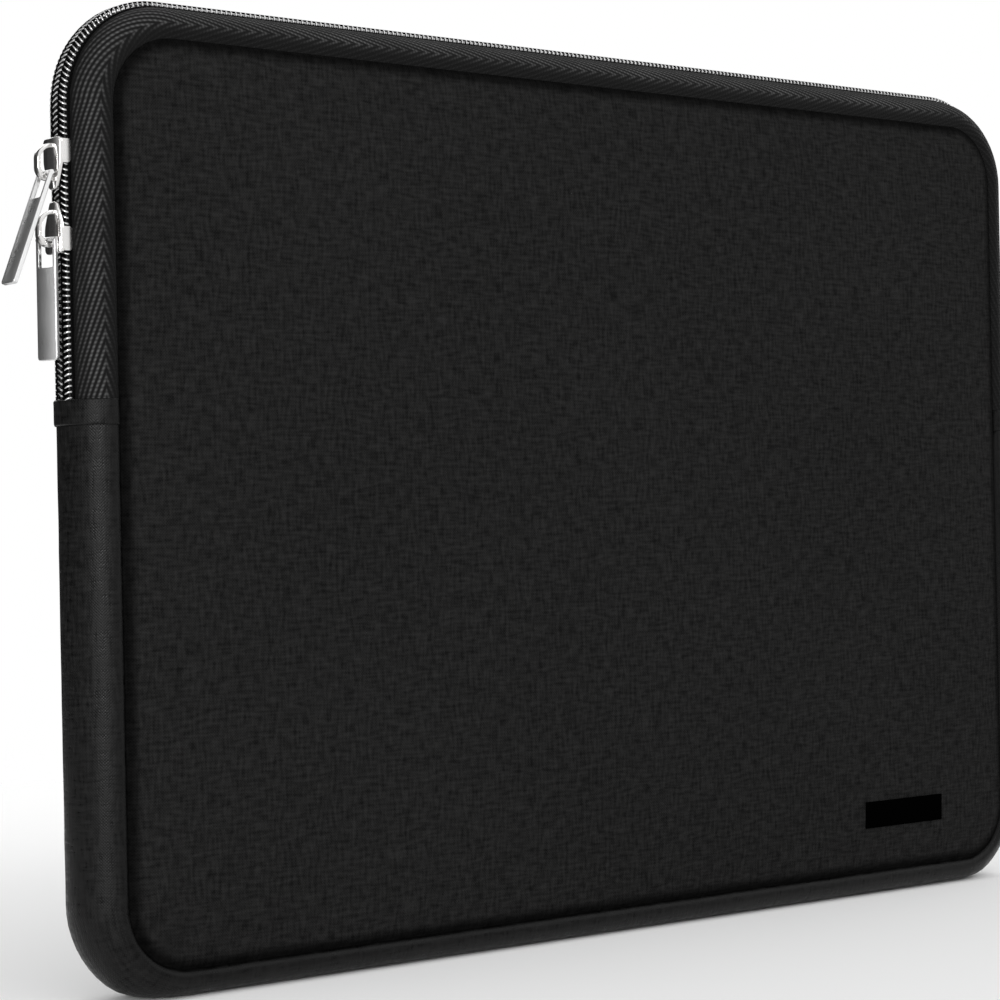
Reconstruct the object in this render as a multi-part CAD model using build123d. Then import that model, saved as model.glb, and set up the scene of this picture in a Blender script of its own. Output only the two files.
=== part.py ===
from build123d import *
import os

# Slim zipped laptop sleeve standing on its base, front face towards -Y, both zip sliders on the -X side.
# Millimetres, +Z up, origin at the middle of the flat base.

# overall size
body_width = 365.0
body_height = 265.0
body_depth = 25.0
corner_radius = 29.0
edge_radius = 8.0
base_trim = 2.5
envelope_height = body_height + base_trim

# the sewn seam that joins each flat panel to the gusset
seam_width = 344.0
seam_height = 246.5
seam_bottom = 8.0
seam_radius = 18.5
seam_gap = 0.2
layer_gap = 0.05

# layers from the outside in: canvas, foam, lining
canvas_thickness = 1.0
foam_thickness = 3.0
lining_thickness = 1.0
foam_inset = canvas_thickness
lining_inset = foam_inset + foam_thickness
cavity_inset = lining_inset + lining_thickness

# bound seam allowance inside each seam
binding_depth = 1.4
binding_offset = 0.2
binding_near = 3.0
binding_far = 7.4

# coil zip round the upper half of the edge
gusset_top = 155.4
tape_bottom = 155.8
tape_inset = 1.5
tape_thickness = 0.8
slit_half = 0.7
coil_half_width = 3.75
coil_rise = 0.9
core_inset = 0.5
core_thickness = 0.5
core_inner_edge = 1.8
core_outer_edge = 2.6
core_clearance = 0.05

# folded band that covers each end of the zip
tab_bottom = 152.6
tab_top = 158.9
tab_thickness = 0.7

# blank label on the front
label_width = 36.0
label_height = 8.5
label_thickness = 0.5
label_x = 120.7
label_z = 26.8
label_corner = 0.6

# slider, measured from its nose, and its two places on the left-hand run
slider_length = 13.6
slider_half_width = 4.5
slider_nose_half = 1.7
slider_shoulder = 6.7
plate_gap = 0.3
plate_thickness = 0.8
inner_plate_gap = 0.4
inner_plate_thickness = 1.1
flange_thickness = 0.65
flange_gap = 0.35
flange_end = 13.0
flange_corner = 0.9
plate_round = 0.35
inner_plate_shrink = 0.3
neck_half = 0.4
neck_start = 0.7
neck_end = 2.7
upper_nose_z = 213.8
lower_nose_z = 210.6

# bail that holds the pull, an upright loop of flat strip
bail_start = 2.2
bail_end = 12.0
bail_rise = 4.7
bail_strip = 1.1
bail_half_width = 1.2
bail_corner = 3.2
bail_round = 0.25

# pull, a flat bar with a window and a round crossbar
pull_length = 31.5
pull_half_width = 3.5
pull_thickness = 1.2
pull_corner = 0.9
pull_round = 0.25
window_half_width = 2.45
window_length = 7.3
window_corner = 0.4
pivot_rise = 1.9
pivot_seat = 0.9
upper_pull_tilt = 21.0
lower_pull_twist = 16.0

# worked out from the above
side_x = body_width / 2
seam_mid = seam_bottom + seam_height / 2
plate_inner_x = -(side_x + coil_rise + plate_gap)
plate_outer_x = plate_inner_x - plate_thickness
inner_plate_outer_x = -(side_x - tape_inset - tape_thickness - inner_plate_gap)
pivot_x = plate_outer_x - pivot_rise
far = 1000.0


def above(z):
    return Pos(0, 0, z) * Box(far, far, far, align=(Align.CENTER, Align.CENTER, Align.MIN))


def below(z):
    return Pos(0, 0, z) * Box(far, far, far, align=(Align.CENTER, Align.CENTER, Align.MAX))


def slice_y(y0, y1):
    return Pos(0, (y0 + y1) / 2, 0) * Box(far, y1 - y0, far)


def side_of_x(sign):
    return Pos(sign * far / 2, 0, 0) * Box(far, far, far)


def envelope(inset):
    # the whole outer form, shrunk evenly by inset, with its flat base
    depth = body_depth - 2 * inset
    outline = RectangleRounded(body_width - 2 * inset, envelope_height - 2 * inset, corner_radius - inset)
    block = extrude(Plane.XZ * outline, depth / 2, both=True)
    rims = block.edges().filter_by(lambda e: abs(abs(e.center().Y) - depth / 2) < 0.01)
    block = fillet(rims, edge_radius - inset)
    block = Pos(0, 0, envelope_height / 2 - base_trim) * block
    return block & above(inset)


def seam_prism(grow):
    # a bar through the sleeve with the outline of the seam, larger by grow
    outline = RectangleRounded(seam_width + 2 * grow, seam_height + 2 * grow, seam_radius + grow)
    return Pos(0, 0, seam_mid) * extrude(Plane.XZ * outline, body_depth, both=True)


def shell(outer_inset, inner_inset):
    return envelope(outer_inset) - envelope(inner_inset)


def panel_layer(inset, thickness, sign):
    # a flat layer of the front (sign -1) or rear (sign 1) panel
    outer = sign * (body_depth / 2 - inset)
    inner = sign * (body_depth / 2 - inset - thickness)
    return seam_prism(-seam_gap / 2) & slice_y(min(outer, inner), max(outer, inner))


def gusset_layer(inset, thickness, gap=0.0):
    # gap leaves a hair of air on both faces of the layer
    wall = shell(inset + gap, inset + thickness - gap) - seam_prism(seam_gap / 2)
    return wall & below(gusset_top)


def seam_binding(sign):
    ring = seam_prism(binding_offset + binding_depth) - seam_prism(binding_offset)
    near = sign * binding_near
    deep = sign * binding_far
    return ring & slice_y(min(near, deep), max(near, deep))


def half_slice(sign, inner, outer):
    return slice_y(min(sign * inner, sign * outer), max(sign * inner, sign * outer))


def zip_tape(sign):
    band = shell(tape_inset, tape_inset + tape_thickness) - seam_prism(seam_gap / 2)
    return band & above(tape_bottom) & half_slice(sign, slit_half, body_depth)


def zip_coil(sign):
    # stands proud of the tape, and is pressed down where the end tabs cover it
    band = shell(0, tape_inset) + (shell(-coil_rise, 0) & above(tab_top + layer_gap))
    band = band & half_slice(sign, slit_half, coil_half_width)
    tunnel = shell(core_inset - core_clearance, core_inset + core_thickness + core_clearance)
    tunnel = tunnel & half_slice(sign, core_inner_edge - core_clearance, core_outer_edge + core_clearance)
    return (band - tunnel) & above(tape_bottom)


def zip_core(sign):
    cord = shell(core_inset, core_inset + core_thickness)
    return cord & half_slice(sign, core_inner_edge, core_outer_edge) & above(tape_bottom)


def end_tab(sign):
    band = shell(-tab_thickness, 0) - seam_prism(seam_gap / 2)
    band = band & above(tab_bottom) & below(tab_top)
    return band & slice_y(-body_depth / 2, body_depth / 2) & side_of_x(sign)


def blank_label():
    patch = extrude(Plane.XZ * RectangleRounded(label_width, label_height, label_corner), label_thickness)
    return Pos(label_x, -body_depth / 2, label_z) * patch


def slider_outline(shrink):
    # shield shape in the YZ plane, nose at z = 0
    half = slider_half_width - shrink
    nose = slider_nose_half - shrink
    rear = slider_length - shrink
    right = [(half, rear), (half, slider_shoulder), (nose, shrink)]
    left = [(-y, z) for y, z in reversed(right)]
    outline = make_face(Polyline(*right, *left, close=True))
    radii = ((rear, 1.4), (slider_shoulder, 6.0), (shrink, 1.2))
    for level, radius in radii:
        corners = outline.vertices().filter_by(lambda v: abs(v.Y - level) < 0.01)
        outline = fillet(corners, radius)
    return outline


def slider_body():
    # two plates joined by the neck at the nose, with flanges that fold round the coil at the rear
    plate = extrude(Plane.YZ * slider_outline(0), plate_thickness)
    plate = Pos(plate_outer_x, 0, 0) * plate
    plate = fillet(plate.faces().sort_by(Axis.X)[0].edges(), plate_round)
    inner = extrude(Plane.YZ * slider_outline(inner_plate_shrink), inner_plate_thickness)
    inner = Pos(inner_plate_outer_x, 0, 0) * inner
    neck_span = inner_plate_outer_x - plate_inner_x
    neck_middle = (inner_plate_outer_x + plate_inner_x) / 2
    neck_box = Box(neck_span, 2 * neck_half, neck_end - neck_start)
    body = plate + inner + Pos(neck_middle, 0, (neck_start + neck_end) / 2) * neck_box
    flange_depth = coil_rise + tape_inset + plate_gap - flange_gap
    flange_length = flange_end - slider_shoulder
    for sign in (-1, 1):
        flange = Box(flange_depth, flange_thickness, flange_length)
        free_ends = flange.faces().sort_by(Axis.X)[-1].edges().filter_by(Axis.Y)
        flange = fillet(free_ends, flange_corner)
        flange_x = plate_inner_x + flange_depth / 2
        flange_y = sign * (slider_half_width - flange_thickness / 2)
        body = body + Pos(flange_x, flange_y, slider_shoulder + flange_length / 2) * flange
    return body


def slider_bail():
    # flat strip bent into an arch that stands on the plate
    length = bail_end - bail_start
    outer = RectangleRounded(2 * bail_rise, length, bail_corner)
    hole = RectangleRounded(2 * (bail_rise - bail_strip), length - 2 * bail_strip, bail_corner - bail_strip)
    arch = extrude(Plane.XZ * (outer - hole), bail_half_width, both=True)
    rims = arch.edges().filter_by(lambda e: abs(abs(e.center().Y) - bail_half_width) < 0.01)
    arch = fillet(rims, bail_round) & side_of_x(-1)
    return Pos(plate_outer_x, 0, (bail_start + bail_end) / 2) * arch


def pull_bar():
    # hangs down from its crossbar, which lies along Y through the origin
    middle = -pull_length / 2
    outline = Pos(0, middle) * Rectangle(2 * pull_half_width, pull_length)
    low_corners = outline.vertices().group_by(Axis.Y)[0]
    outline = fillet(low_corners, pull_corner)
    window = Pos(0, -window_length / 2) * Rectangle(2 * window_half_width, window_length)
    window = fillet(window.vertices().group_by(Axis.Y)[0], window_corner)
    bar = extrude(Plane.YZ * (outline - window), pull_thickness / 2, both=True)
    faces = bar.faces().sort_by(Axis.X)
    bar = fillet(faces[0].edges() + faces[-1].edges(), pull_round)
    crossbar = Rot(90, 0, 0) * Cylinder(pull_thickness / 2, 2 * pull_half_width)
    return bar + crossbar


def facing_down(piece, nose_z):
    return Pos(0, 0, nose_z) * piece


def facing_up(piece, nose_z):
    return Pos(0, 0, nose_z) * mirror(piece, Plane.XY)


def build_nodes():
    nodes = {}
    for name, sign in (("front", -1), ("rear", 1)):
        nodes[f"{name}_panel"] = panel_layer(0, canvas_thickness, sign)
        nodes[f"{name}_foam"] = panel_layer(foam_inset, foam_thickness, sign)
        nodes[f"{name}_lining"] = panel_layer(lining_inset, lining_thickness, sign)
        nodes[f"{name}_seam_binding"] = seam_binding(sign)
        nodes[f"zip_tape_{name}"] = zip_tape(sign)
        nodes[f"zip_coil_{name}"] = zip_coil(sign)
        nodes[f"zip_core_{name}"] = zip_core(sign)
    nodes["lower_gusset"] = gusset_layer(0, canvas_thickness)
    nodes["lower_gusset_foam"] = gusset_layer(foam_inset, foam_thickness, layer_gap)
    nodes["lower_gusset_lining"] = gusset_layer(lining_inset, lining_thickness)
    nodes["left_end_tab"] = end_tab(-1)
    nodes["right_end_tab"] = end_tab(1)
    nodes["blank_label"] = blank_label()

    body = slider_body()
    bail = slider_bail()
    pull = pull_bar()
    upper_pivot_z = upper_nose_z + bail_start + bail_strip + pivot_seat
    lower_pivot_z = lower_nose_z - bail_end + bail_strip + pivot_seat
    nodes["slider_upper_body"] = facing_down(body, upper_nose_z)
    nodes["slider_upper_bail"] = facing_down(bail, upper_nose_z)
    nodes["slider_lower_body"] = facing_up(body, lower_nose_z)
    nodes["slider_lower_bail"] = facing_up(bail, lower_nose_z)
    nodes["pull_upper"] = Pos(pivot_x, 0, upper_pivot_z) * Rot(0, upper_pull_tilt, 0) * pull
    nodes["pull_lower"] = Pos(pivot_x, 0, lower_pivot_z) * Rot(0, 0, lower_pull_twist) * pull
    print("upper pull pivot", pivot_x, upper_pivot_z, "lower pull pivot", pivot_x, lower_pivot_z)
    return nodes


os.makedirs("parts", exist_ok=True)
for node_name, solid in build_nodes().items():
    export_step(solid, f"parts/{node_name}.step")
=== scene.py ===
import math

import bmesh
import bpy
from mathutils import Matrix, Vector, noise
from mathutils.bvhtree import BVHTree


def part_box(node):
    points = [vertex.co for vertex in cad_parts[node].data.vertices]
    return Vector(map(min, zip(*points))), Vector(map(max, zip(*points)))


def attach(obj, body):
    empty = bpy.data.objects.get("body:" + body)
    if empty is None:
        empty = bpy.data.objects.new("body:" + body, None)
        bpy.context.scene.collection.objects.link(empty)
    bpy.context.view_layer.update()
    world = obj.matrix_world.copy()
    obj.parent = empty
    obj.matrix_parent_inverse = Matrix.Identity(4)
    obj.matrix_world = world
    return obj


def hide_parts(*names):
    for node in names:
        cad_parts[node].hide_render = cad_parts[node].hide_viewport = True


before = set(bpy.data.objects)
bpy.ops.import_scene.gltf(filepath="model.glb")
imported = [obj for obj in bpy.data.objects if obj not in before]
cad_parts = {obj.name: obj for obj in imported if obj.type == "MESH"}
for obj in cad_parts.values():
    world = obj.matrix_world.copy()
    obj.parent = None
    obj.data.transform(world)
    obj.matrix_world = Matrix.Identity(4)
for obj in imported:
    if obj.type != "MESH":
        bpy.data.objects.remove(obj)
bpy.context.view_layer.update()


def mm(value):
    return value / 1000


# places taken from the frame, in metres; each panel stops a hair short of its seam
hair = mm(0.1)
weldReach = 1e-6
panelLow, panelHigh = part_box("front_panel")
tabLow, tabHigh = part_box("left_end_tab")
labelLow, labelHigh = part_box("blank_label")
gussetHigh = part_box("lower_gusset")[1]
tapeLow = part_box("zip_tape_front")[0]
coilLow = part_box("zip_coil_front")[0]

sleeve = {
    "seamRadius": mm(18.5),
    "seamHalf": panelHigh.x + hair,
    "seamLow": panelLow.z - hair,
    "seamTop": panelHigh.z + hair,
    "faceY": -panelLow.y,
    "zipEndZ": gussetHigh.z,
    "grooveDepth": mm(1.6),
    "grooveWidth": {"panel": mm(1.3), "band": mm(1.1)},
    "stepSize": mm(4),
    "turnSteps": 14,
}
coilTop = -coilLow.x - sleeve["seamHalf"]
print("frame read: seam", sleeve["seamHalf"], sleeve["seamLow"], sleeve["seamTop"])


# shader wiring
class Wire:
    # a socket that Python's own operators can work on
    def __init__(self, finish, socket):
        self.finish, self.socket = finish, socket

    def math(self, operation, first, second=0.0):
        return self.finish.add("ShaderNodeMath", {"operation": operation}, {0: first, 1: second})

    def __add__(self, other):
        return self.math("ADD", self, other)

    __radd__ = __add__

    def __sub__(self, other):
        return self.math("SUBTRACT", self, other)

    def __rsub__(self, other):
        return self.math("SUBTRACT", other, self)

    def __mul__(self, other):
        return self.math("MULTIPLY", self, other)

    __rmul__ = __mul__

    def sin(self):
        return self.math("SINE", self)

    def abs(self):
        return self.math("ABSOLUTE", self)

    def power(self, exponent):
        return self.math("POWER", self, exponent)

    def smooth(self, low, high):
        # 0 below low, 1 above high, and a soft step between
        settings = {"interpolation_type": "SMOOTHSTEP"}
        return self.finish.add("ShaderNodeMapRange", settings, {0: self, 1: low, 2: high, 3: 0.0, 4: 1.0})

    def swing(self, amount):
        # centres a 0 to 1 pattern on 0 and scales it
        return (self - 0.5) * amount


class Finish:
    # one material, or the world, and the nodes wired into it
    def __init__(self, name, world=None, **surface):
        self.material = world or bpy.data.materials.new(name)
        self.material.use_nodes = True
        self.tree = self.material.node_tree
        self.shader = self.tree.nodes["Background" if world else "Principled BSDF"]
        self.set(**surface)

    def set(self, **surface):
        # uniform numbers and colours go straight onto the shader's sockets
        for key, value in surface.items():
            self.feed(self.shader, key.replace("_", " "), value)

    def feed(self, node, key, value):
        if isinstance(value, Wire):
            self.tree.links.new(value.socket, node.inputs[key])
        else:
            node.inputs[key].default_value = value

    def add(self, kind, settings=None, values=None, output=0):
        node = self.tree.nodes.new(kind)
        for key, value in (settings or {}).items():
            setattr(node, key, value)
        for key, value in (values or {}).items():
            self.feed(node, key, value)
        return Wire(self, node.outputs[output])

    def weaveCoordinates(self):
        # metres along and across the cloth, from the piece's own map
        flat = self.add("ShaderNodeUVMap", {"uv_map": "weave"})
        along = self.add("ShaderNodeSeparateXYZ", {}, {0: flat}, 0)
        across = Wire(self, along.socket.node.outputs[1])
        return flat, along, across

    def paintedSeamShade(self, low, high, least):
        # painted shade: the share of the cloth's tone left near the seam, where it turns down into the crease
        # and shade falls there
        distance = self.add("ShaderNodeAttribute", {"attribute_name": "fromSeam"}, {}, 2)
        return distance.smooth(low, high) * (1 - least) + least

    def objectCoordinates(self):
        return self.add("ShaderNodeTexCoord", {}, {}, 3)

    def stretch(self, vector, scale):
        return self.add("ShaderNodeMapping", {}, {"Vector": vector, "Scale": scale})

    def clouds(self, vector, scale, detail=2.0, rough=0.5):
        settings = {"noise_dimensions": "3D"}
        values = {"Vector": vector, "Scale": scale, "Detail": detail, "Roughness": rough}
        return self.add("ShaderNodeTexNoise", settings, values)

    def mix(self, factor, first, second):
        settings = {"data_type": "RGBA", "blend_type": "MIX"}
        return self.add("ShaderNodeMix", settings, {0: factor, 6: first, 7: second}, 2)

    def bump(self, height, distance, strength=1.0):
        values = {"Height": height, "Distance": distance, "Strength": strength}
        return self.add("ShaderNodeBump", {}, values)


def grey(value, warmth=0.0):
    return (value * (1 + warmth), value, value * (1 - warmth), 1.0)


# finishes
canvasLook = {
    "panel": {
        "dark": 0.0048, "light": 0.0172, "rough": 0.9, "gloss": 0.02, "fleck": 0.0, "threads": 0.5,
        "relief": mm(0.09), "shadeFrom": mm(0.9), "shadeTo": mm(4.2),
    },
    "gusset": {
        "dark": 0.0012, "light": 0.0115, "rough": 0.38, "gloss": 0.11, "fleck": 0.5, "threads": 0.12,
        "relief": mm(0.24), "shadeFrom": mm(0.2), "shadeTo": mm(5),
    },
    "thread": mm(0.8), "slubLength": 1 / mm(5), "slubWidth": 1 / mm(1.0), "slubDetail": 3.0,
    "wanderScale": 120.0, "wander": 1.6, "cloudScale": 11.0, "warmth": 0.01, "creaseShadeLeast": 0.28,
    "slubTone": 1.5, "threadTone": 0.22, "cloudTone": 0.25, "slubHeight": 0.7, "bump": 0.7,
}


def makeCanvas(name, shade):
    # plain weave, with slubs both ways and a dark line of painted shade along the seam crease
    look = canvasLook
    finish = Finish(name, Specular_IOR_Level=shade["gloss"])
    flat, along, across = finish.weaveCoordinates()
    turn = 2 * math.pi / look["thread"]
    wander = finish.clouds(flat, look["wanderScale"], 1.0) * look["wander"]
    warp = (along * turn + wander).sin()
    weft = (across * turn + wander).sin()
    threads = warp * weft
    lengthways = finish.stretch(flat, (look["slubLength"], look["slubWidth"], 1))
    crossways = finish.stretch(flat, (look["slubWidth"], look["slubLength"], 1))
    slubAlong = finish.clouds(lengthways, 1.0, look["slubDetail"])
    slubAcross = finish.clouds(crossways, 1.0, look["slubDetail"])
    cloud = finish.clouds(flat, look["cloudScale"])
    tone = 0.5 + slubAlong.swing(look["slubTone"]) + slubAcross.swing(look["slubTone"])
    tone = tone + threads * look["threadTone"] + cloud.swing(look["cloudTone"])
    cloth = finish.mix(tone, grey(shade["dark"]), grey(shade["light"], look["warmth"]))
    # painted shade: the cloth darkens towards the seam, where it turns down into the crease
    left = finish.paintedSeamShade(shade["shadeFrom"], shade["shadeTo"], look["creaseShadeLeast"])
    finish.set(Base_Color=finish.mix(left, grey(0.0), cloth))
    finish.set(Roughness=shade["rough"] + (slubAlong + slubAcross - 1) * shade["fleck"])
    height = threads * shade["threads"] + (slubAlong + slubAcross) * look["slubHeight"]
    finish.set(Normal=finish.bump(height, shade["relief"], look["bump"]))
    return finish.material


tapeLook = {
    "rib": mm(1.5), "climb": 0.38, "apexAcross": mm(13.2), "bead": mm(1.12), "rough": 0.8, "gloss": 0.12,
    "wobbleScale": 130.0, "wobble": 0.9, "patches": (60, 200, 1), "leastPatch": 0.2, "patch": 1.3,
    "leastBead": 0.35, "contrast": 1.8, "dark": 0.0025, "light": 0.085,
    # from coilEdge to middle the painted shade beside the coil fades out
    "coilEdge": mm(4.4), "coilFade": mm(1.8), "coilShadeNearShare": 0.55, "middle": mm(9.5), "middleFade": mm(2),
    # where the painted shade towards the seam crease sets in, and how dark it gets
    "seamShadeBefore": mm(1.5), "seamShadeAfter": mm(2.2), "seamShadeShare": 0.93, "relief": mm(0.15), "bump": 0.8,
}


def makeHerringbone(name, look):
    # beaded ribs that meet in chevrons, with painted shade beside the coil, and faint beyond the chevrons'
    # tips, where painted shade darkens the tape towards the seam crease
    finish = Finish(name, Roughness=look["rough"], Specular_IOR_Level=look["gloss"])
    flat, along, across = finish.weaveCoordinates()
    apex, coilEdge, middle = look["apexAcross"], look["coilEdge"], look["middle"]
    wobble = finish.clouds(flat, look["wobbleScale"], 1.0) * look["wobble"]
    ribs = ((across - apex).abs() + along * look["climb"]) * (2 * math.pi / look["rib"]) + wobble
    ribs = ribs.sin() * 0.5 + 0.5
    beads = (along * (2 * math.pi / look["bead"]) + wobble * 2).sin() * 0.5 + 0.5
    patch = finish.clouds(finish.stretch(flat, look["patches"]), 1.0)
    # painted shade: the tape is darkened beside the coil, where the coil's shade falls on it
    paintedCoilShade = across.smooth(coilEdge, coilEdge + look["coilFade"]) * look["coilShadeNearShare"]
    paintedCoilShade = paintedCoilShade + across.smooth(middle - look["middleFade"], middle) * (1 - look["coilShadeNearShare"])
    # painted shade: beyond the chevrons' tips the tape darkens towards the seam crease
    paintedTapeSeamShade = 1 - across.smooth(apex - look["seamShadeBefore"], apex + look["seamShadeAfter"]) * look["seamShadeShare"]
    grain = beads * (1 - look["leastBead"]) + look["leastBead"]
    tone = ribs.power(look["contrast"]) * grain * (patch * look["patch"] + look["leastPatch"]) * paintedCoilShade * paintedTapeSeamShade
    finish.set(Base_Color=finish.mix(tone, grey(look["dark"]), grey(look["light"])))
    finish.set(Normal=finish.bump(ribs + beads * 0.5, look["relief"], look["bump"]))
    return finish.material


threadLook = {
    "slant": 1.4, "dark": 0.6, "light": 1.3, "relief": mm(0.06), "rough": 0.9,
    "stitch": {"value": 0.003, "pitch": mm(0.8)},
    "cord": {"value": 0.05, "pitch": mm(0.9)},
    "binding": {"value": 0.02, "pitch": mm(1.0)},
    "label": {"value": 0.0006, "pitch": mm(0.6)},
}


def makeThread(name, thread):
    # twisted cord or stitching, ribbed along its length
    look = threadLook
    finish = Finish(name, Roughness=look["rough"], Specular_IOR_Level=0.0)
    along, across = finish.weaveCoordinates()[1:]
    twist = ((along + across * look["slant"]) * (2 * math.pi / thread["pitch"])).sin()
    shades = grey(thread["value"] * look["dark"]), grey(thread["value"] * look["light"])
    finish.set(Base_Color=finish.mix(twist * 0.5 + 0.5, *shades))
    finish.set(Normal=finish.bump(twist, look["relief"]))
    return finish.material


metalLook = {
    "brush": (900, 900, 60), "smudgeScale": 140.0, "brushRough": 0.16, "smudgeRough": 0.12, "smudged": 0.9,
    "nickel": {"colour": (0.78, 0.77, 0.76), "rough": 0.17, "scratch": mm(0.002), "crown": 55.0},
    "pull": {"colour": (0.8, 0.8, 0.8), "rough": 0.3, "scratch": mm(0.004), "crown": 35.0},
}


def makeMetal(name, metal):
    # plated casting, faces a little crowned across the sleeve
    look = metalLook
    finish = Finish(name, Metallic=1.0, Specular_IOR_Level=0.5)
    place = finish.objectCoordinates()
    acrossZip = finish.add("ShaderNodeSeparateXYZ", {}, {0: place}, 1)
    brushed = finish.clouds(finish.stretch(place, look["brush"]), 1.0, 3.0)
    smudge = finish.clouds(place, look["smudgeScale"], 3.0)
    rough = metal["rough"] + brushed.swing(look["brushRough"]) + smudge.swing(look["smudgeRough"])
    dull = [part * look["smudged"] for part in metal["colour"]]
    finish.set(Roughness=rough)
    finish.set(Base_Color=finish.mix(smudge, (*dull, 1.0), (*metal["colour"], 1.0)))
    finish.set(Normal=finish.bump(brushed * metal["scratch"] - acrossZip * acrossZip * metal["crown"], 1.0))
    return finish.material


plushLook = {
    "pile": 900.0, "value": 0.05, "dark": 0.6, "light": 1.5, "rough": 0.95, "sheen": 0.4,
    "relief": mm(0.3), "bump": 0.6,
}


def makePlush(name, look):
    # short pile, darker between the tufts
    finish = Finish(name, Roughness=look["rough"], Sheen_Weight=look["sheen"], Sheen_Roughness=look["sheen"])
    pile = finish.clouds(finish.objectCoordinates(), look["pile"], 3.0, 0.7)
    shades = grey(look["value"] * look["dark"]), grey(look["value"] * look["light"])
    finish.set(Base_Color=finish.mix(pile, *shades), Normal=finish.bump(pile, look["relief"], look["bump"]))
    return finish.material


foamLook = {
    "cells": 900.0, "value": 0.12, "dark": 0.5, "light": 1.3, "rough": 0.9, "relief": mm(0.2), "bump": 0.6,
}


def makeFoam(name, look):
    # closed cells, darker at their middles
    finish = Finish(name, Roughness=look["rough"])
    values = {"Vector": finish.objectCoordinates(), "Scale": look["cells"]}
    cells = finish.add("ShaderNodeTexVoronoi", {"feature": "F1"}, values)
    shades = grey(look["value"] * look["dark"]), grey(look["value"] * look["light"])
    finish.set(Base_Color=finish.mix(cells, *shades), Normal=finish.bump(cells, look["relief"], look["bump"]))
    return finish.material


coilLook = {
    "wornScale": 420.0, "dark": 0.5, "light": 0.85, "foot": 0.004, "metal": 0.95, "rough": 0.2,
    "wornRough": 0.12,
    # the coil's foot is black as painted shade; its crown on the top run is darkened as a painted dark
    # reflection
    "footShadeFrom": coilTop - mm(1.7), "footShadeTo": coilTop - mm(1.1),
    "crownFrom": coilTop - mm(0.6), "crownTo": coilTop - mm(0.25),
    "crownStart": mm(-168), "crownFull": mm(-150),
}


def makeCoilMetal(name, look):
    # painted shade: black at the coil's foot, where shade falls between the strands, and silver above it,
    # with a painted dark reflection on the crown from the top left corner on
    finish = Finish(name, Specular_IOR_Level=0.5)
    worn = finish.clouds(finish.objectCoordinates(), look["wornScale"])
    along, out = finish.weaveCoordinates()[1:]
    # painted dark reflection: along the top run the coil's crown is darkened, standing in for the dark it
    # reflects from above
    crown = out.smooth(look["crownFrom"], look["crownTo"])
    crown = crown * along.smooth(look["crownStart"], look["crownFull"])
    # painted shade: black at the coil's foot and silver above it
    clearOfPaintedDark = out.smooth(look["footShadeFrom"], look["footShadeTo"]) * (1 - crown)
    silver = finish.mix(worn, grey(look["dark"]), grey(look["light"]))
    finish.set(Base_Color=finish.mix(clearOfPaintedDark, grey(look["foot"]), silver))
    finish.set(Metallic=clearOfPaintedDark * look["metal"], Roughness=look["rough"] + worn * look["wornRough"])
    return finish.material


finishes = {
    "canvas": makeCanvas("charcoal canvas", canvasLook["panel"]),
    "gusset": makeCanvas("gusset canvas", canvasLook["gusset"]),
    "tape": makeHerringbone("herringbone tape", tapeLook),
    "stitch": makeThread("black stitching", threadLook["stitch"]),
    "cord": makeThread("core cord", threadLook["cord"]),
    "binding": makeThread("ribbed binding", threadLook["binding"]),
    "label": makeThread("woven label", threadLook["label"]),
    "nickel": makeMetal("satin nickel", metalLook["nickel"]),
    "pull": makeMetal("brushed pull", metalLook["pull"]),
    "teeth": makeCoilMetal("silvered coil", coilLook),
    "plush": makePlush("plush lining", plushLook),
    "foam": makeFoam("padding foam", foamLook),
}
print("finishes made:", len(finishes))


# shaping helpers
def corner(side, level):
    # centre of one rounded corner of the seam
    x = side * (sleeve["seamHalf"] - sleeve["seamRadius"])
    z = sleeve["seamTop"] - sleeve["seamRadius"] if level > 0 else sleeve["seamLow"] + sleeve["seamRadius"]
    return Vector((x, 0, z))


def legsFrom(startZ, level):
    # up or down the left side from startZ, along the top or bottom, and back to startZ on the right
    rise = Vector((0, 0, corner(-1, level).z - startZ))
    along = corner(1, level) - corner(-1, level)
    turn = math.radians(90 * level)
    return [("run", rise), ("turn", corner(-1, level), turn), ("run", along),
            ("turn", corner(1, level), turn), ("run", -rise)]


def sweep(bm, geom, legs, stepSize, turnSteps=sleeve["turnSteps"], axis=(0, 1, 0), copies=False):
    # carries edges, or copies of a whole piece, along runs and round turns
    for kind, what, *turn in legs:
        if kind == "run":
            steps = max(1, round(what.length / stepSize))
            made = bmesh.ops.spin(bm, geom=geom, cent=(0, 0, 0), axis=axis, dvec=what / steps,
                                  angle=0, steps=steps, use_duplicate=copies)
        else:
            made = bmesh.ops.spin(bm, geom=geom, cent=what, axis=axis, dvec=(0, 0, 0),
                                  angle=turn[0], steps=turnSteps, use_duplicate=copies)
        geom = made["geom_last"]
    return geom


def legsAllRound(startZ):
    # one whole lap, back to the start on the left side
    over = legsFrom(startZ, 1)
    drop = Vector((0, 0, corner(1, -1).z - startZ))
    back = corner(-1, -1) - corner(1, -1)
    quarter = math.radians(90)
    return over + [("run", drop), ("turn", corner(1, -1), quarter), ("run", back),
                   ("turn", corner(-1, -1), quarter), ("run", -drop)]


def seamDistance(x, z):
    # signed distance outward from the seam line
    halfX = sleeve["seamHalf"]
    halfZ = (sleeve["seamTop"] - sleeve["seamLow"]) / 2
    midZ = (sleeve["seamTop"] + sleeve["seamLow"]) / 2
    r = sleeve["seamRadius"]
    dx = abs(x) - halfX + r
    dz = abs(z - midZ) - halfZ + r
    outside = math.hypot(max(dx, 0), max(dz, 0))
    return outside + min(max(dx, dz), 0) - r


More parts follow.
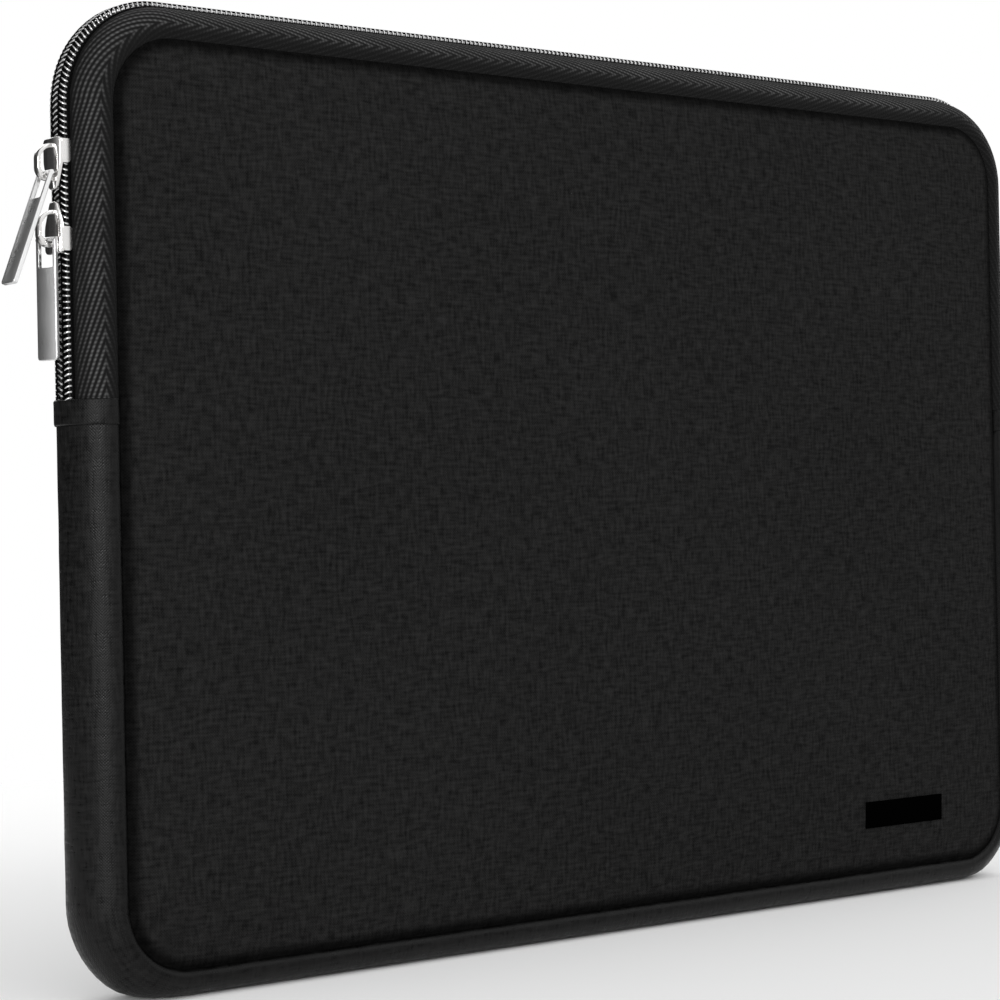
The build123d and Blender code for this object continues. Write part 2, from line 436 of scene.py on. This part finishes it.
def seamLap():
    r = sleeve["seamRadius"]
    high, low = corner(-1, 1), corner(-1, -1)
    return -4 * high.x + 2 * (high.z - low.z) + 2 * math.pi * r


def seamRun(x, z):
    # how far round the seam a place lies, from the middle of the bottom and up the left
    r = sleeve["seamRadius"]
    straight = -corner(-1, 1).x
    low, high = corner(-1, -1).z, corner(-1, 1).z
    if abs(x) <= straight:
        run = abs(x) if z < (low + high) / 2 else seamLap() / 2 - abs(x)
    elif z < low:
        run = straight + r * math.atan2(abs(x) - straight, low - z)
    elif z > high:
        run = seamLap() / 2 - straight - r * math.atan2(abs(x) - straight, z - high)
    else:
        run = straight + r * math.pi / 2 + z - low
    return run if x < 0 else seamLap() - run


def fade(distance, width):
    return math.exp(-(distance / width) ** 2)


def ruffle(point, size, seed):
    return noise.noise(Vector((point[0] / size + seed, point[1] / size, point[2] / size)))


def writeMap(bm, mapping):
    # lays the cloth's own coordinates, in metres, on every face corner, unbroken where the lap closes,
    # and keeps how far each place is from the seam
    seam = bm.verts.layers.float.new("fromSeam")
    for vertex in bm.verts:
        vertex[seam] = abs(seamDistance(vertex.co.x, vertex.co.z))
    layer = bm.loops.layers.uv.new("weave")
    for face in bm.faces:
        places = [mapping(loop.vert) for loop in face.loops]
        furthest = max(place[0] for place in places)
        for loop, (along, across) in zip(face.loops, places):
            loop[layer].uv = (along + seamLap() if furthest - along > seamLap() / 2 else along, across)


def addPiece(bm, name, finish, body, nodes):
    mesh = bpy.data.meshes.new(name)
    for face in bm.faces:
        face.smooth = True
    bm.to_mesh(mesh)
    bm.free()
    mesh.materials.append(finish)
    piece = bpy.data.objects.new(name, mesh)
    bpy.context.scene.collection.objects.link(piece)
    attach(piece, body)
    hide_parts(*nodes)
    return piece


def weld(bm):
    bmesh.ops.remove_doubles(bm, verts=bm.verts[:], dist=weldReach)


def closeEnds(bm, sides=0):
    # fills the open ends, where sides is the most edges an end may have, or 0 for any number
    bmesh.ops.holes_fill(bm, edges=bm.edges[:], sides=sides)
    bmesh.ops.recalc_face_normals(bm, faces=bm.faces[:])


def faceToward(bm, side):
    # turns a sheet's normals to the front for side -1 and to the back for side 1
    bmesh.ops.recalc_face_normals(bm, faces=bm.faces[:])
    if sum(face.normal.y for face in bm.faces) * side < 0:
        bmesh.ops.reverse_faces(bm, faces=bm.faces[:])


# camera
cameraLook = {
    "place": (-0.53386, -0.61531, 0.12574), "yaw": 38.962, "pitch": 0.380, "roll": -1.163, "lens": 96.34,
}


def makeCamera(look):
    camera = bpy.data.objects.new("camera", bpy.data.cameras.new("camera"))
    camera.data.lens = look["lens"]
    camera.data.sensor_width = 36
    heading = Matrix.Rotation(math.radians(-look["yaw"]), 4, "Z")
    tilt = Matrix.Rotation(math.radians(90 + look["pitch"]), 4, "X")
    roll = Matrix.Rotation(math.radians(look["roll"]), 4, "Z")
    camera.matrix_world = Matrix.Translation(look["place"]) @ heading @ tilt @ roll
    bpy.context.scene.collection.objects.link(camera)
    bpy.context.scene.camera = camera


makeCamera(cameraLook)


# padded panels
panelLook = {
    "overlap": mm(-0.08), "cell": mm(6), "rings": (0.3, 0.4, 0.5, 0.6, 0.8, 1.1, 1.6, 2.4),
    "pucker": mm(0.12), "puckerSize": mm(9), "puckerFade": mm(7), "canvas": mm(0.9), "fill": 0.9,
    "pinned": mm(1.4), "pressure": 4.0, "frames": 20, "cap": mm(1.3),
    "cloth": {
        "quality": 5, "mass": 0.2, "tension_stiffness": 25, "compression_stiffness": 25,
        "shear_stiffness": 10, "bending_stiffness": 2,
    },
}


def startSheet(inset, rings, cell):
    # a rounded rectangle in the seam, ringed near its edge and cut into cells
    bm = bmesh.new()
    width = 2 * (sleeve["seamHalf"] - inset)
    height = sleeve["seamTop"] - sleeve["seamLow"] - 2 * inset
    middle = Vector((0, 0, (sleeve["seamTop"] + sleeve["seamLow"]) / 2))
    bmesh.ops.create_grid(bm, x_segments=1, y_segments=1, size=0.5)
    bmesh.ops.scale(bm, vec=(width, height, 1), verts=bm.verts[:])
    bmesh.ops.rotate(bm, matrix=Matrix.Rotation(math.radians(90), 3, "X"), verts=bm.verts[:])
    bmesh.ops.translate(bm, vec=middle, verts=bm.verts[:])
    bmesh.ops.bevel(bm, geom=bm.verts[:], offset=sleeve["seamRadius"] - inset, offset_type="OFFSET",
                    segments=sleeve["turnSteps"], profile=0.5, affect="VERTICES", material=-1)
    for ring in rings:
        face = max(bm.faces, key=lambda f: f.calc_area())
        bmesh.ops.inset_region(bm, faces=[face], thickness=mm(ring), use_boundary=True,
                               use_even_offset=True)
    for axis, low, high in (((1, 0, 0), -width / 2, width / 2),
                            ((0, 0, 1), sleeve["seamLow"] + inset, sleeve["seamTop"] - inset)):
        count = round((high - low) / cell)
        for cut in range(1, count):
            place = Vector(axis) * (low + (high - low) * cut / count)
            bmesh.ops.bisect_plane(bm, geom=bm.verts[:] + bm.edges[:] + bm.faces[:],
                                   plane_co=place, plane_no=axis)
    return bm


def puff(piece, look):
    # lets the pinned sheet swell under air pressure, then keeps a capped share of the move
    cloth = piece.modifiers.new("swell", "CLOTH")
    settings = cloth.settings
    for key, value in look["cloth"].items():
        setattr(settings, key, value)
    settings.use_pressure = True
    settings.uniform_pressure_force = look["pressure"]
    settings.vertex_group_mass = "seam"
    settings.effector_weights.gravity = 0
    cloth.collision_settings.use_collision = False
    cloth.collision_settings.use_self_collision = False
    scene = bpy.context.scene
    for step in range(1, look["frames"] + 1):
        scene.frame_set(step)
    swollen = piece.evaluated_get(bpy.context.evaluated_depsgraph_get()).data
    moves = [after.co - before.co for after, before in zip(swollen.vertices, piece.data.vertices)]
    longest = max(move.length for move in moves)
    piece.modifiers.remove(cloth)
    for vertex, move in zip(piece.data.vertices, moves):
        reach = look["cap"] * (1 - math.exp(-move.length / look["cap"]))
        vertex.co += move.normalized() * reach if move.length > 0 else move
    scene.frame_set(1)
    print("swell", piece.name, "longest move mm", round(longest * 1000, 2))


def makePanel(name, side, node, seed):
    # a sheet that turns down into the seam, pinned there and blown up a little
    look = panelLook
    bm = startSheet(look["overlap"], look["rings"], look["cell"])
    for vertex in bm.verts:
        inward = max(0.0, -seamDistance(vertex.co.x, vertex.co.z))
        shoulder = sleeve["grooveDepth"] * fade(inward, sleeve["grooveWidth"]["panel"])
        pucker = look["pucker"] * ruffle(vertex.co, look["puckerSize"], seed)
        pucker = pucker * fade(inward, look["puckerFade"])
        vertex.co.y = side * (sleeve["faceY"] - shoulder + pucker)
    faceToward(bm, side)
    writeMap(bm, lambda vertex: (vertex.co.x, vertex.co.z))
    rim = [v.index for v in bm.verts if -seamDistance(v.co.x, v.co.z) < look["pinned"]]
    piece = addPiece(bm, name, finishes["canvas"], "root", [node])
    group = piece.vertex_groups.new(name="seam")
    group.add(rim, 1.0, "REPLACE")
    puff(piece, look)
    thicken(piece, look["canvas"])
    return piece


def thicken(piece, thickness):
    # gives a sheet its inner face and a closed rim
    bm = bmesh.new()
    bm.from_mesh(piece.data)
    bmesh.ops.solidify(bm, geom=bm.faces[:], thickness=thickness)
    bm.to_mesh(piece.data)
    bm.free()


frontPanel = makePanel("frontPanel", -1, "front_panel", 3.0)
rearPanel = makePanel("rearPanel", 1, "rear_panel", 11.0)
print("panels done")


# foam and lining behind each panel
paddingLook = {
    "foamInset": mm(2.6), "foamOuter": mm(11.2), "foamInner": mm(8.6), "foamBevel": mm(0.9),
    "liningInset": mm(0.6), "liningOuter": mm(8.45), "liningInner": mm(7.55), "liningBevel": mm(0.3),
    "cell": mm(12), "sharp": math.radians(60), "bevelSteps": 3,
}


def makeSlab(name, side, inset, outer, inner, bevel, finish, node):
    look = paddingLook
    bm = startSheet(inset, (), look["cell"])
    bmesh.ops.translate(bm, vec=(0, side * inner, 0), verts=bm.verts[:])
    made = bmesh.ops.extrude_face_region(bm, geom=bm.faces[:], use_keep_orig=True)
    lifted = [item for item in made["geom"] if isinstance(item, bmesh.types.BMVert)]
    bmesh.ops.translate(bm, vec=(0, side * (outer - inner), 0), verts=lifted)
    weld(bm)
    bmesh.ops.recalc_face_normals(bm, faces=bm.faces[:])
    edges = [e for e in bm.edges if len(e.link_faces) == 2 and e.calc_face_angle() > look["sharp"]]
    bmesh.ops.bevel(bm, geom=edges, offset=bevel, segments=look["bevelSteps"], profile=0.5,
                    affect="EDGES", material=-1)
    return addPiece(bm, name, finish, "root", [node])


for word, side in (("front", -1), ("rear", 1)):
    p = paddingLook
    foam = makeSlab(word + "Foam", side, p["foamInset"], p["foamOuter"], p["foamInner"], p["foamBevel"],
                    finishes["foam"], word + "_foam")
    makeSlab(word + "Lining", side, p["liningInset"], p["liningOuter"], p["liningInner"], p["liningBevel"],
             finishes["plush"], word + "_lining")
print("padding done")


# gusset, tapes and the layers behind them
gussetLook = {
    "segments": 56, "pressedZone": mm(4), "gap": mm(0.05),
    "waves": {
        "height": mm(0.16), "size": mm(16), "seed": 7.0, "fade": mm(3), "clearOfBase": mm(6), "sideways": 0.5,
    },
    "canvas": {
        "reach": mm(10.4), "face": mm(12.5), "thickness": mm(0.9), "base": 0.0, "keep": None, "dip": 1,
    },
    "foam": {
        "reach": mm(9.4), "face": mm(11.4), "thickness": mm(2.7), "base": mm(1.0), "keep": mm(9.3), "dip": 0,
    },
    "lining": {
        "reach": mm(6.4), "face": mm(8.4), "thickness": mm(0.9), "base": mm(4.0), "keep": mm(7.0), "dip": 0,
    },
}
tapeShape = {
    "reach": mm(9.7), "face": mm(12.4), "square": 2.4, "slit": mm(0.5), "thickness": mm(0.7),
    "widest": mm(20), "waves": 0.6,
}


def startProfile(bm, reach, face, startZ, segments, square=2.0, dipShare=1):
    # half an ellipse standing out from the left seam, with a rolled edge into the seam groove
    circle = bmesh.ops.create_circle(bm, cap_ends=False, radius=1, segments=segments)
    for vertex in circle["verts"]:
        vertex.co.x = math.copysign((1 - min(1.0, abs(vertex.co.y)) ** square) ** (1 / square), vertex.co.x)
    bmesh.ops.scale(bm, vec=(reach, face, 1), verts=circle["verts"])
    bmesh.ops.bisect_plane(bm, geom=bm.verts[:] + bm.edges[:], plane_co=(0, 0, 0), plane_no=(1, 0, 0),
                           clear_outer=True)
    for vertex in bm.verts:
        dip = dipShare * sleeve["grooveDepth"] * fade(vertex.co.x, sleeve["grooveWidth"]["band"])
        vertex.co.y -= math.copysign(dip, vertex.co.y)
    place = (-sleeve["seamHalf"] - gussetLook["gap"], 0, startZ)
    bmesh.ops.translate(bm, vec=place, verts=bm.verts[:])


def cropProfile(bm, low, high):
    for limit, away in ((low, (0, -1, 0)), (high, (0, 1, 0))):
        bmesh.ops.bisect_plane(bm, geom=bm.verts[:] + bm.edges[:], plane_co=(0, limit, 0),
                               plane_no=away, clear_outer=True)


def acrossLayer(bm, side=1):
    # keeps how far each profile point lies across the cloth, for the weave
    layer = bm.verts.layers.float.new("across")
    ordered = sorted(bm.verts, key=lambda v: side * math.atan2(v.co.y, -v.co.x - sleeve["seamHalf"]))
    total = 0.0
    for before, after in zip(ordered, ordered[1:]):
        total += (after.co - before.co).length
        after[layer] = total
    return layer


def pressBase(bm, lowest, base):
    # what reaches under the base is pressed flat on it
    top = base + gussetLook["pressedZone"]
    bend = (top - lowest) / (top - base) - 1
    for vertex in bm.verts:
        if vertex.co.z < top:
            share = max(0.0, (vertex.co.z - lowest) / (top - lowest))
            vertex.co.z = base + (top - base) * (bend * share ** 2 + (1 - bend) * share)


def ruffleBand(bm, strength):
    # small waves in the cloth, none at the seams or under the base
    look = gussetLook["waves"]
    for vertex in bm.verts:
        out = seamDistance(vertex.co.x, vertex.co.z)
        share = min(1.0, max(0.0, out / look["fade"]))
        move = strength * look["height"] * ruffle(vertex.co, look["size"], look["seed"]) * share
        if vertex.co.z > look["clearOfBase"]:
            vertex.co.y += move * look["sideways"]
            if abs(vertex.co.x) > sleeve["seamHalf"]:
                vertex.co.x -= math.copysign(move, vertex.co.x)


def faceOutward(bm):
    bmesh.ops.recalc_face_normals(bm, faces=bm.faces[:])
    middle = Vector((0, 0, (sleeve["seamTop"] + sleeve["seamLow"]) / 2))
    if sum((face.calc_center_median() - middle).dot(face.normal) for face in bm.faces) < 0:
        bmesh.ops.reverse_faces(bm, faces=bm.faces[:])


def finishBand(bm, name, layer, finish, node, thickness):
    faceOutward(bm)
    writeMap(bm, lambda vertex: (seamRun(vertex.co.x, vertex.co.z), vertex[layer]))
    bmesh.ops.solidify(bm, geom=bm.faces[:], thickness=thickness)
    return addPiece(bm, name, finish, "root", [node])


def makeGussetLayer(name, look, finish, node, waves=0):
    bm = bmesh.new()
    startProfile(bm, look["reach"], look["face"], sleeve["zipEndZ"], gussetLook["segments"],
                 dipShare=look["dip"])
    if look["keep"]:
        cropProfile(bm, -look["keep"], look["keep"])
    layer = acrossLayer(bm)
    sweep(bm, bm.verts[:] + bm.edges[:], legsFrom(sleeve["zipEndZ"], -1), sleeve["stepSize"])
    pressBase(bm, sleeve["seamLow"] - look["reach"], look["base"])
    ruffleBand(bm, waves)
    return finishBand(bm, name, layer, finish, node, look["thickness"])


def makeTape(name, side, node):
    look = tapeShape
    bm = bmesh.new()
    startProfile(bm, look["reach"], look["face"], sleeve["zipEndZ"], gussetLook["segments"], look["square"])
    near, far = side * look["slit"], side * look["widest"]
    cropProfile(bm, min(near, far), max(near, far))
    layer = acrossLayer(bm, side)
    sweep(bm, bm.verts[:] + bm.edges[:], legsFrom(sleeve["zipEndZ"], 1), sleeve["stepSize"])
    ruffleBand(bm, look["waves"])
    return finishBand(bm, name, layer, finishes["tape"], node, look["thickness"])


makeGussetLayer("lowerGusset", gussetLook["canvas"], finishes["gusset"], "lower_gusset", 1)
makeGussetLayer("gussetFoam", gussetLook["foam"], finishes["foam"], "lower_gusset_foam")
makeGussetLayer("gussetLining", gussetLook["lining"], finishes["plush"], "lower_gusset_lining")
makeTape("zipTapeFront", -1, "zip_tape_front")
makeTape("zipTapeRear", 1, "zip_tape_rear")
print("gusset and tapes done")


# round cords that follow the seam or the zip
cordLook = {
    "binding": {
        "out": mm(0.9), "y": mm(5.2), "thick": mm(0.7), "wide": mm(2.15), "segments": 12, "step": mm(6),
    },
    "core": {
        "out": mm(9.75), "y": mm(2.2), "thick": mm(0.24), "wide": mm(0.35), "segments": 8, "step": mm(6),
    },
    "thread": {
        "out": mm(11.12), "y": mm(1.75), "thick": mm(0.26), "wide": mm(0.46), "segments": 6, "step": mm(1.6),
    },
    # a black cord beside the coil's outer foot, put there as painted shade
    "edge": {
        "out": mm(9.5), "y": mm(4.1), "thick": mm(0.22), "wide": mm(0.38), "segments": 6, "step": mm(3),
    },
}


def startRing(bm, look, side, startZ):
    bmesh.ops.create_circle(bm, cap_ends=False, radius=1, segments=look["segments"])
    bmesh.ops.scale(bm, vec=(look["thick"], look["wide"], 1), verts=bm.verts[:])
    place = (-sleeve["seamHalf"] - look["out"], side * look["y"], startZ)
    bmesh.ops.translate(bm, vec=place, verts=bm.verts[:])


def makeCord(name, look, side, legs, startZ, finish, nodes):
    bm = bmesh.new()
    startRing(bm, look, side, startZ)
    sweep(bm, bm.verts[:] + bm.edges[:], legs, look["step"])
    weld(bm)
    closeEnds(bm, look["segments"])
    writeMap(bm, lambda vertex: (seamRun(vertex.co.x, vertex.co.z), vertex.co.y))
    return addPiece(bm, name, finish, "root", nodes)


zipStart = tapeLow.z
for word, side in (("Front", -1), ("Rear", 1)):
    lowWord = word.lower()
    makeCord("seamBinding" + word, cordLook["binding"], side, legsAllRound(zipStart), zipStart,
             finishes["binding"], [lowWord + "_seam_binding"])
    makeCord("zipCore" + word, cordLook["core"], side, legsFrom(zipStart, 1), zipStart,
             finishes["cord"], ["zip_core_" + lowWord])
    # the coil's stitching is real thread; the second cord is a black cord laid as painted shade beside the
    # coil's outer foot
    for prefix, kind in (("coilStitching", "thread"), ("coilFootShadeCord", "edge")):
        makeCord(prefix + word, cordLook[kind], side, legsFrom(tabHigh.z, 1), tabHigh.z,
                 finishes["stitch"], [])
print("cords done")


# coil teeth
toothLook = {
    "pitch": mm(1.575), "wire": mm(0.29), "sides": 6, "outerY": mm(3.4), "lift": mm(0.5), "bend": mm(1.1),
    "bendSteps": 4, "headTurn": math.radians(68), "headSteps": 3, "proud": mm(0.15), "turnTeeth": 30,
    "leanSplit": mm(200), "leanZone": mm(26),
    "Front": {"headY": mm(1.3), "headBend": mm(1.2), "leanAbove": 0.6, "leanBelow": -0.38},
    "Rear": {"headY": mm(0.5), "headBend": mm(1.1), "leanAbove": 0.5, "leanBelow": -0.5},
}


def startTooth(bm, look, side, head, startZ):
    # one bent strand of the coil, from the tape over its top to the head in the middle
    topX = coilLow.x + look["proud"] + look["wire"]
    bmesh.ops.create_circle(bm, cap_ends=False, radius=look["wire"], segments=look["sides"])
    bmesh.ops.rotate(bm, matrix=Matrix.Rotation(math.radians(90), 3, "Y"), verts=bm.verts[:])
    start = Vector((topX + look["bend"] + look["lift"], side * look["outerY"], startZ))
    bmesh.ops.translate(bm, vec=start, verts=bm.verts[:])
    firstCentre = Vector((topX + look["bend"], side * (look["outerY"] - look["bend"]), 0))
    headCentre = Vector((topX + head["headBend"], side * head["headY"], 0))
    span = Vector((0, headCentre.y - firstCentre.y, 0))
    geom = bm.verts[:] + bm.edges[:]
    geom = sweep(bm, geom, [("run", Vector((-look["lift"], 0, 0)))], look["lift"])
    geom = sweep(bm, geom, [("turn", firstCentre, math.radians(90 * side))], 1, look["bendSteps"], (0, 0, 1))
    geom = sweep(bm, geom, [("run", span)], abs(span.y))
    sweep(bm, geom, [("turn", headCentre, look["headTurn"] * side)], 1, look["headSteps"], (0, 0, 1))
    closeEnds(bm, look["sides"])


def makeTeeth(word, side, node):
    look, head = toothLook, toothLook[word]
    startZ = tabHigh.z + (look["pitch"] / 2 if side > 0 else 0) + look["wire"]
    bm = bmesh.new()
    startTooth(bm, look, side, head, startZ)
    for vertex in bm.verts:
        vertex.co.z += head["leanAbove"] * (look["outerY"] - side * vertex.co.y)
    sweep(bm, bm.verts[:] + bm.edges[:] + bm.faces[:], legsFrom(startZ, 1), look["pitch"],
          look["turnTeeth"], copies=True)
    for vertex in bm.verts:
        if vertex.co.x < -sleeve["seamHalf"] and vertex.co.z < look["leanSplit"]:
            share = min(1.0, (look["leanSplit"] - vertex.co.z) / look["leanZone"])
            lean = (head["leanBelow"] - head["leanAbove"]) * share
            vertex.co.z += lean * (look["outerY"] - side * vertex.co.y)
    writeMap(bm, lambda vertex: (vertex.co.x, seamDistance(vertex.co.x, vertex.co.z)))
    return addPiece(bm, "zipCoil" + word, finishes["teeth"], "root", [node])


makeTeeth("Front", -1, "zip_coil_front")
makeTeeth("Rear", 1, "zip_coil_rear")
print("teeth done")


# end tabs
tabLook = {
    "proud": mm(0.75), "facePart": 0.4, "thickness": mm(0.7), "rows": 16, "drop": mm(0.5),
    "bulge": mm(0.25), "bulgeWide": mm(3.2), "creaseSize": mm(2.2), "creaseSeed": 5.0,
    "lip": mm(0.12), "lipAt": 0.93, "lipWide": 0.05, "round": mm(0.25), "roundFrom": 0.75,
}


def makeTab(name, side, node):
    # a band over the gusset, bulging over the coil's end, with a lip at its top and rounded edges
    look = tabLook
    bm = bmesh.new()
    canvas = gussetLook["canvas"]
    foot = tabLow.z - look["drop"]
    startProfile(bm, canvas["reach"] + look["proud"], canvas["face"] + look["proud"] * look["facePart"],
                 foot, gussetLook["segments"])
    layer = acrossLayer(bm)
    rise = Vector((0, 0, tabHigh.z - foot))
    sweep(bm, bm.verts[:] + bm.edges[:], [("run", rise)], rise.z / look["rows"])
    for vertex in bm.verts:
        share = (vertex.co.z - foot) / rise.z
        crease = 1 + ruffle(vertex.co, look["creaseSize"], look["creaseSeed"])
        vertex.co.x -= look["bulge"] * fade(vertex.co.y, look["bulgeWide"]) * share * crease
        vertex.co.x -= look["lip"] * fade(share - look["lipAt"], look["lipWide"])
        edge = max(0.0, abs(share - 0.5) * 2 - look["roundFrom"]) / (1 - look["roundFrom"])
        vertex.co.x += look["round"] * edge ** 2
    if side > 0:
        bmesh.ops.scale(bm, vec=(-1, 1, 1), verts=bm.verts[:])
    faceOutward(bm)
    writeMap(bm, lambda vertex: (seamRun(vertex.co.x, vertex.co.z), vertex[layer]))
    bmesh.ops.solidify(bm, geom=bm.faces[:], thickness=look["thickness"])
    return addPiece(bm, name, finishes["gusset"], "root", [node])


makeTab("leftEndTab", -1, "left_end_tab")
makeTab("rightEndTab", 1, "right_end_tab")
print("tabs done")


# slider bails
bailLook = {
    "strip": mm(1.1), "edge": mm(0.25), "edgeSteps": 3, "sunk": mm(0.1), "freeCorner": mm(4.3),
    "pivotCorner": mm(3.3), "step": mm(1), "turnSteps": 18,
}


def makeBail(name, node, body):
    # flat strip bent into an arch that stands on the slider, rounder where no pull hangs in it
    look = bailLook
    low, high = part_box(node)
    upper, lower = look["freeCorner"], look["pivotCorner"]
    rise, width, half = high.x - low.x, high.y - low.y, look["strip"] / 2
    bm = bmesh.new()
    bmesh.ops.create_grid(bm, x_segments=1, y_segments=1, size=0.5)
    bmesh.ops.scale(bm, vec=(look["strip"], width, 1), verts=bm.verts[:])
    bmesh.ops.bevel(bm, geom=bm.verts[:], offset=look["edge"], offset_type="OFFSET",
                    segments=look["edgeSteps"], profile=0.5, affect="VERTICES", material=-1)
    bmesh.ops.delete(bm, geom=bm.faces[:], context="FACES_ONLY")
    bmesh.ops.rotate(bm, matrix=Matrix.Rotation(math.radians(90), 3, "Y"), verts=bm.verts[:])
    start = Vector((high.x + look["sunk"], (high.y + low.y) / 2, high.z - half))
    bmesh.ops.translate(bm, vec=start, verts=bm.verts[:])
    quarter = -math.radians(90)
    sweep(bm, bm.verts[:] + bm.edges[:], [
        ("run", Vector((upper - rise - look["sunk"], 0, 0))),
        ("turn", Vector((low.x + upper, 0, high.z - upper)), quarter),
        ("run", Vector((0, 0, low.z + lower - high.z + upper))),
        ("turn", Vector((low.x + lower, 0, low.z + lower)), quarter),
        ("run", Vector((rise - lower + look["sunk"], 0, 0))),
    ], look["step"], look["turnSteps"])
    weld(bm)
    closeEnds(bm)
    return addPiece(bm, name, finishes["nickel"], body, [node])


makeBail("upperBail", "slider_upper_bail", "slider_upper")
makeBail("lowerBail", "slider_lower_bail", "slider_lower")
print("bails done")


# blank label
labelLook = {"thickness": mm(0.4), "cell": mm(1.2), "rayFrom": mm(-100)}


def panelSurface(piece):
    mesh = piece.data
    return BVHTree.FromPolygons([v.co for v in mesh.vertices], [p.vertices for p in mesh.polygons])


def makeLabel():
    # a plain patch laid on the swollen front panel
    look = labelLook
    bm = bmesh.new()
    width, height = labelHigh.x - labelLow.x, labelHigh.z - labelLow.z
    middle = (labelHigh + labelLow) / 2
    columns, rows = round(width / look["cell"]), round(height / look["cell"])
    bmesh.ops.create_grid(bm, x_segments=columns, y_segments=rows, size=0.5)
    bmesh.ops.scale(bm, vec=(width, height, 1), verts=bm.verts[:])
    bmesh.ops.rotate(bm, matrix=Matrix.Rotation(math.radians(90), 3, "X"), verts=bm.verts[:])
    bmesh.ops.translate(bm, vec=middle, verts=bm.verts[:])
    writeMap(bm, lambda vertex: (vertex.co.x, vertex.co.z))
    surface = panelSurface(frontPanel)
    for vertex in bm.verts:
        start = Vector((vertex.co.x, look["rayFrom"], vertex.co.z))
        found = surface.ray_cast(start, Vector((0, 1, 0)))[0]
        vertex.co.y = found.y - look["thickness"]
    faceToward(bm, -1)
    bmesh.ops.solidify(bm, geom=bm.faces[:], thickness=look["thickness"])
    return addPiece(bm, "blankLabel", finishes["label"], "root", ["blank_label"])


makeLabel()
print("label done")


# stage and light
stageLook = {"floor": 0.95, "size": 3.0, "near": 0.2, "far": 0.75}


def makeStage(look):
    # a pale floor that thins out into the pale backdrop
    bm = bmesh.new()
    bmesh.ops.create_circle(bm, cap_ends=True, radius=look["size"], segments=64)
    mesh = bpy.data.meshes.new("floor")
    bm.to_mesh(mesh)
    bm.free()
    floor = bpy.data.objects.new("floor", mesh)
    finish = Finish("pale floor", Base_Color=grey(look["floor"]), Roughness=0.95, Specular_IOR_Level=0.0)
    place = finish.objectCoordinates()
    distance = finish.add("ShaderNodeVectorMath", {"operation": "LENGTH"}, {0: place}, 1)
    finish.set(Alpha=1 - distance.smooth(look["near"], look["far"]))
    mesh.materials.append(finish.material)
    bpy.context.scene.collection.objects.link(floor)


makeStage(stageLook)

lightAim = Vector((0, 0, 0.13))
lights = {
    "key": {"place": (-1.5, -1.05, 0.42), "size": 0.45, "power": 15},
    "side": {"place": (1.0, -1.4, 1.2), "size": 1.0, "power": 6},
    "back": {"place": (0.3, 1.5, 1.4), "size": 1.4, "power": 12},
}


def makeLights():
    for name, look in lights.items():
        lamp = bpy.data.lights.new(name, "AREA")
        lamp.energy = look["power"]
        lamp.size = look["size"]
        holder = bpy.data.objects.new(name, lamp)
        holder.location = look["place"]
        heading = lightAim - Vector(look["place"])
        holder.rotation_mode = "QUATERNION"
        holder.rotation_quaternion = heading.to_track_quat("-Z", "Y")
        bpy.context.scene.collection.objects.link(holder)


makeLights()

worldLook = {
    "backdrop": 1.0, "dark": 0.045, "bright": 1.0, "from": (0.2, -0.98, 0.0), "low": -1.0, "high": 0.35,
}


def makeWorld(look):
    # a white backdrop to look at, and a studio that is bright in front and dark behind to light by
    world = bpy.data.worlds.new("studio")
    bpy.context.scene.world = world
    studio = Finish("studio", world)
    heading = studio.objectCoordinates()
    values = {0: heading, 1: look["from"]}
    facing = studio.add("ShaderNodeVectorMath", {"operation": "DOT_PRODUCT"}, values, 1)
    glow = facing.smooth(look["low"], look["high"])
    studio.set(Color=studio.mix(glow, grey(look["dark"]), grey(look["bright"])))
    shown = studio.add("ShaderNodeBackground", {}, {"Color": grey(look["backdrop"])})
    seen = studio.add("ShaderNodeLightPath")
    lit = Wire(studio, studio.shader.outputs[0])
    both = studio.add("ShaderNodeMixShader", {}, {0: seen, 1: lit, 2: shown})
    studio.feed(studio.tree.nodes["World Output"], "Surface", both)


makeWorld(worldLook)
bpy.context.scene.view_settings.view_transform = "Standard"

for nodeName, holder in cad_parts.items():
    for place in holder.material_slots:
        if nodeName.startswith("slider"):
            place.material = finishes["nickel"]
        if nodeName.startswith("pull"):
            place.material = finishes["pull"]
